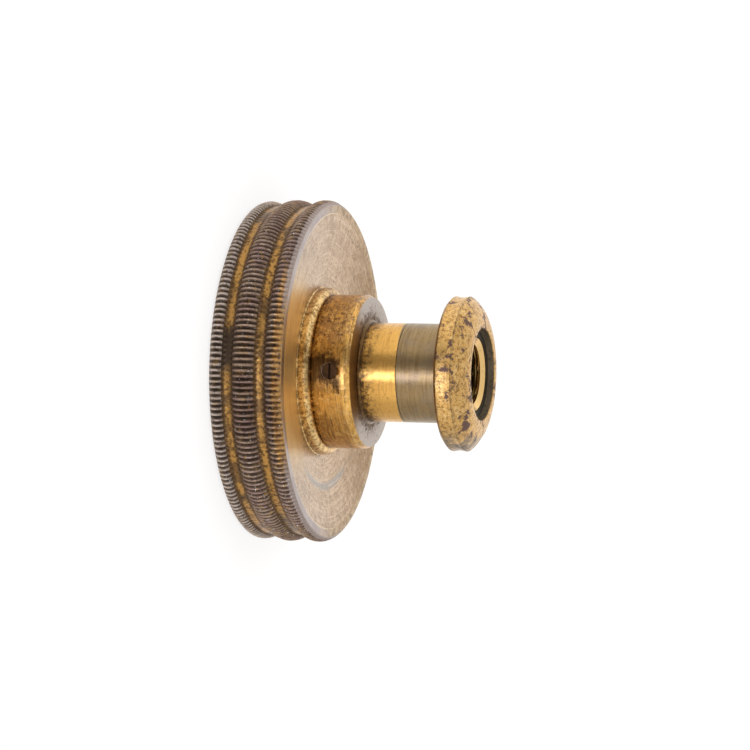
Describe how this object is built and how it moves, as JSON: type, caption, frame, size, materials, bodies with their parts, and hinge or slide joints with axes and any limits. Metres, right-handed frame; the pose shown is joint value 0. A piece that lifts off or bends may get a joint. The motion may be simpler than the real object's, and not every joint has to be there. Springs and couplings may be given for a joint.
{
  "type": "milled adjusting knob",
  "caption": "Turned brass focusing knob: wheel with straight-milled bands, boss, neck with a running sleeve, and a domed end collar with a threaded mouth.",
  "frame": {"origin": "centre of the wheel's flat back face, which the knob stands on", "axes": "+Z along the turning axis, from the wheel to the open end; -Y is the side of the grub screw"},
  "size_m": [0.034, 0.034, 0.0228],
  "materials": {
    "milled_head": "aged turned brass, brown tarnish in the milling",
    "stem": "bright turned brass",
    "neck_sleeve": "dark bronze or nickel silver, fine turned",
    "end_collar": "worn lacquered brass with brown patches",
    "thread_bush": "bright brass",
    "grub_screw": "blackened steel"
  },
  "bodies": {
    "knob": {"milled_head": "milled_head", "stem": "stem", "end_collar": "end_collar", "thread_bush": "thread_bush", "grub_screw": "grub_screw"},
    "sleeve": {"neck_sleeve": "neck_sleeve"}
  },
  "joints": [
    {"name": "sleeve_spin", "type": "hinge", "parent": "knob", "child": "sleeve", "pos_m": [0, 0, 0.01747], "axis": [0, 0, 1], "continuous": true}
  ]
}
